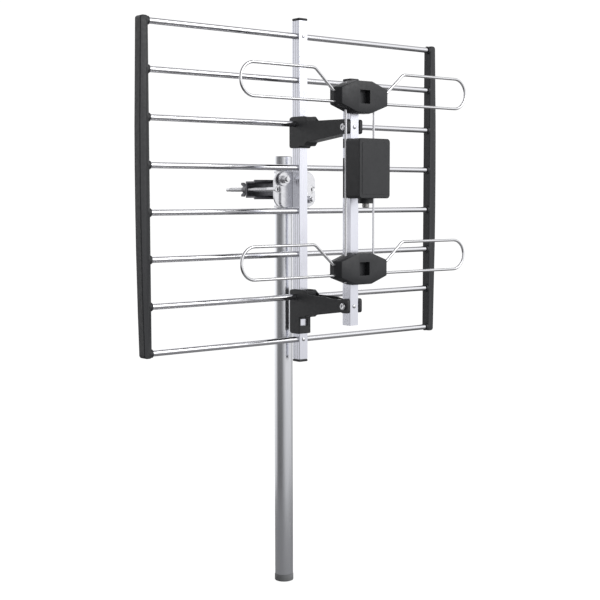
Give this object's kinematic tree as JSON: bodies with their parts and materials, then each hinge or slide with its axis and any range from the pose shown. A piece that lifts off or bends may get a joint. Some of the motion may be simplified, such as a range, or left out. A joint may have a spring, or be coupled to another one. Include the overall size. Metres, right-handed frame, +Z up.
{
  "type": "uhf grid antenna",
  "caption": "Outdoor UHF television antenna: folded wire dipoles in front of a rod reflector, with a matching box, clamped to a short round mast.",
  "frame": {"origin": "centre of the mast foot's underside, on the mast's axis", "axes": "+Z up along the mast; -Y is the direction the antenna receives from, with the dipoles in front of the mast; +X is along the rods, to the right of someone who faces +Y"},
  "size_m": [0.5168, 0.2736, 0.7808],
  "materials": {
    "extruded_aluminium": "mill finish extrusion",
    "polished_aluminium": "bright drawn",
    "galvanised_steel": "galvanised, satin",
    "zinc_plated_steel": "bright zinc plating",
    "dark_steel": "dark passivated",
    "black_plastic": "fine moulded grain",
    "grey_plastic": "matte",
    "white_plastic": "matte",
    "board_laminate": "lacquered",
    "ferrite": "dull",
    "brass": "bright"
  },
  "bodies": {
    "mast": {"mast_pole": "galvanised_steel", "mast_top_cap": "grey_plastic", "mast_foot_cap": "grey_plastic"},
    "antenna": {"reflector_boom": "extruded_aluminium", "boom_top_cap": "black_plastic", "boom_bottom_cap": "black_plastic", "reflector_rod_1": "polished_aluminium", "reflector_rod_2": "polished_aluminium", "reflector_rod_3": "polished_aluminium", "reflector_rod_4": "polished_aluminium", "reflector_rod_5": "polished_aluminium", "reflector_rod_6": "polished_aluminium", "reflector_rod_7": "polished_aluminium", "reflector_rod_8": "polished_aluminium", "boom_rivet_upper": "zinc_plated_steel", "boom_rivet_lower": "zinc_plated_steel", "left_edge_strip": "black_plastic", "right_edge_strip": "black_plastic", "upper_arm": "black_plastic", "lower_arm": "black_plastic", "upper_fork_rivet": "zinc_plated_steel", "lower_fork_rivet": "zinc_plated_steel", "front_boom": "extruded_aluminium", "front_boom_cap": "black_plastic", "front_rivet_upper": "zinc_plated_steel", "front_rivet_lower": "zinc_plated_steel", "upper_insulator_cover": "black_plastic", "upper_insulator_base": "black_plastic", "lower_insulator_cover": "black_plastic", "lower_insulator_base": "black_plastic", "upper_left_loop": "polished_aluminium", "upper_right_loop": "polished_aluminium", "lower_left_loop": "polished_aluminium", "lower_right_loop": "polished_aluminium", "phase_line_left": "polished_aluminium", "phase_line_right": "polished_aluminium", "balun_cover": "black_plastic", "balun_base": "black_plastic", "balun_board": "board_laminate", "balun_core": "ferrite", "feed_clip_left": "zinc_plated_steel", "feed_clip_right": "zinc_plated_steel", "connector_body": "brass", "connector_insulator": "white_plastic", "connector_pin": "brass", "boom_plate": "zinc_plated_steel", "mast_saddle": "zinc_plated_steel", "plate_bolt_upper": "zinc_plated_steel", "plate_bolt_lower": "zinc_plated_steel", "plate_washer_upper": "zinc_plated_steel", "plate_washer_lower": "zinc_plated_steel", "plate_nut_upper": "zinc_plated_steel", "plate_nut_lower": "zinc_plated_steel", "plate_rivet_upper": "zinc_plated_steel", "plate_rivet_lower": "zinc_plated_steel", "clamp_bolt_left": "zinc_plated_steel", "clamp_bolt_right": "zinc_plated_steel"},
    "jaw": {"clamp_jaw": "dark_steel"},
    "wing_nut_left": {"wing_nut_left": "dark_steel"},
    "wing_nut_right": {"wing_nut_right": "dark_steel"}
  },
  "joints": [
    {"name": "azimuth_swivel", "type": "hinge", "parent": "mast", "child": "antenna", "pos_m": [0, 0, 0.552], "axis": [0, 0, 1], "continuous": true},
    {"name": "jaw_travel", "type": "slide", "parent": "antenna", "child": "jaw", "axis": [0, 1, 0], "range_m": [0, 0.025]},
    {"name": "left_nut_turn", "type": "hinge", "parent": "jaw", "child": "wing_nut_left", "pos_m": [-0.0315, 0.04, 0.552], "axis": [0, 1, 0], "range_deg": [0, 9000]},
    {"name": "right_nut_turn", "type": "hinge", "parent": "jaw", "child": "wing_nut_right", "pos_m": [0.0315, 0.04, 0.552], "axis": [0, 1, 0], "range_deg": [0, 9000]}
  ],
  "couplings": [
    {"joint": "left_nut_turn", "follows": "jaw_travel", "rad_per_m": 6283.2},
    {"joint": "right_nut_turn", "follows": "jaw_travel", "rad_per_m": 6283.2}
  ]
}
